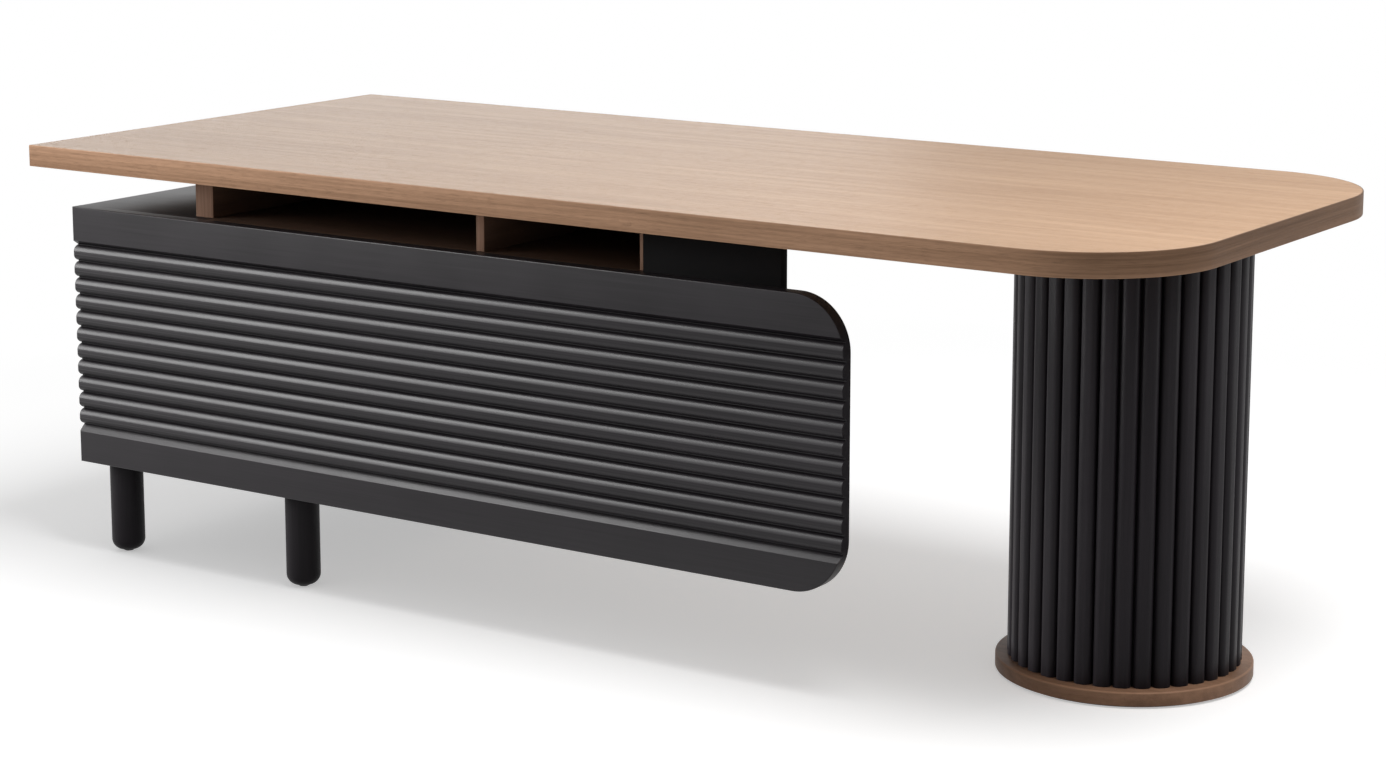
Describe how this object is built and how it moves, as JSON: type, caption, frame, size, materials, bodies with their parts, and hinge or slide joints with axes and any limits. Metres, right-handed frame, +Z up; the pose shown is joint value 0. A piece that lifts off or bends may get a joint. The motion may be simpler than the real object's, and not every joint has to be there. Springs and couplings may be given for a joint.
{
  "type": "office desk",
  "caption": "Executive office desk with a long oak top, a fluted drum leg, a drawer pedestal on round legs, a fluted black front panel and an open niche under the top.",
  "frame": {"origin": "on the floor under the middle of the top", "axes": "+X along the top towards the drum leg, +Y towards the user, +Z up"},
  "size_m": [2.19, 0.94, 0.75],
  "materials": {
    "oak_veneer": "satin oak veneer with fine straight grain",
    "oak_edge": "satin oak edge band, darker than the face",
    "oak_niche": "smoked oak veneer, with a paler lipping on the front edges",
    "black_lacquer": "charcoal black satin lacquer over faint wood grain",
    "black_stain": "near-black satin stain",
    "brown_plinth": "satin mid-brown wood",
    "drum_board": "matt black paint on bending plywood",
    "drawer_birch": "clear lacquered birch plywood",
    "black_plastic": "moulded black plastic",
    "zinc_steel": "zinc plated steel"
  },
  "bodies": {
    "desk_frame": {"desk_top": "oak_veneer", "top_edge_band": "oak_edge", "upright": "oak_niche", "niche_divider": "oak_niche", "niche_right_side": "oak_niche", "niche_floor": "oak_niche", "niche_back": "oak_niche", "fluted_panel": "black_lacquer", "pedestal_left_side": "black_lacquer", "pedestal_right_side": "black_lacquer", "pedestal_top": "black_lacquer", "pedestal_bottom": "black_lacquer", "pedestal_front_board": "black_lacquer", "ledge_board": "black_lacquer", "hanger_board": "black_lacquer", "drum_battens": "black_stain", "leg_front_left": "black_stain", "leg_front_right": "black_stain", "leg_back_left": "black_stain", "leg_back_right": "black_stain", "drum_plinth": "brown_plinth", "drum_core": "drum_board", "drum_top_plate": "drum_board", "drum_bottom_plate": "drum_board", "leg_glides": "black_plastic", "drum_foot": "black_plastic", "leg_studs": "zinc_steel", "panel_screws": "zinc_steel", "angle_brackets": "zinc_steel", "bracket_screws": "zinc_steel", "plinth_screws": "zinc_steel", "drum_screws": "zinc_steel", "runner_lower_outer": "zinc_steel", "runner_middle_outer": "zinc_steel", "runner_upper_outer": "zinc_steel"},
    "drawer_lower": {"drawer_lower_front": "black_lacquer", "drawer_lower_left_side": "drawer_birch", "drawer_lower_right_side": "drawer_birch", "drawer_lower_back": "drawer_birch", "drawer_lower_bottom": "drawer_birch", "runner_lower_inner": "zinc_steel"},
    "runner_lower": {"runner_lower_middle": "zinc_steel"},
    "drawer_middle": {"drawer_middle_front": "black_lacquer", "drawer_middle_left_side": "drawer_birch", "drawer_middle_right_side": "drawer_birch", "drawer_middle_back": "drawer_birch", "drawer_middle_bottom": "drawer_birch", "runner_middle_inner": "zinc_steel"},
    "runner_middle": {"runner_middle_middle": "zinc_steel"},
    "drawer_upper": {"drawer_upper_front": "black_lacquer", "drawer_upper_left_side": "drawer_birch", "drawer_upper_right_side": "drawer_birch", "drawer_upper_back": "drawer_birch", "drawer_upper_bottom": "drawer_birch", "runner_upper_inner": "zinc_steel"},
    "runner_upper": {"runner_upper_middle": "zinc_steel"}
  },
  "joints": [
    {"name": "drawer_lower_slide", "type": "slide", "parent": "desk_frame", "child": "drawer_lower", "axis": [0, 1, 0], "range_m": [0, 0.45]},
    {"name": "runner_lower_slide", "type": "slide", "parent": "desk_frame", "child": "runner_lower", "axis": [0, 1, 0], "range_m": [0, 0.225]},
    {"name": "drawer_middle_slide", "type": "slide", "parent": "desk_frame", "child": "drawer_middle", "axis": [0, 1, 0], "range_m": [0, 0.45]},
    {"name": "runner_middle_slide", "type": "slide", "parent": "desk_frame", "child": "runner_middle", "axis": [0, 1, 0], "range_m": [0, 0.225]},
    {"name": "drawer_upper_slide", "type": "slide", "parent": "desk_frame", "child": "drawer_upper", "axis": [0, 1, 0], "range_m": [0, 0.45]},
    {"name": "runner_upper_slide", "type": "slide", "parent": "desk_frame", "child": "runner_upper", "axis": [0, 1, 0], "range_m": [0, 0.225]}
  ],
  "couplings": [
    {"joint": "runner_lower_slide", "follows": "drawer_lower_slide", "ratio": 0.5},
    {"joint": "runner_middle_slide", "follows": "drawer_middle_slide", "ratio": 0.5},
    {"joint": "runner_upper_slide", "follows": "drawer_upper_slide", "ratio": 0.5}
  ]
}
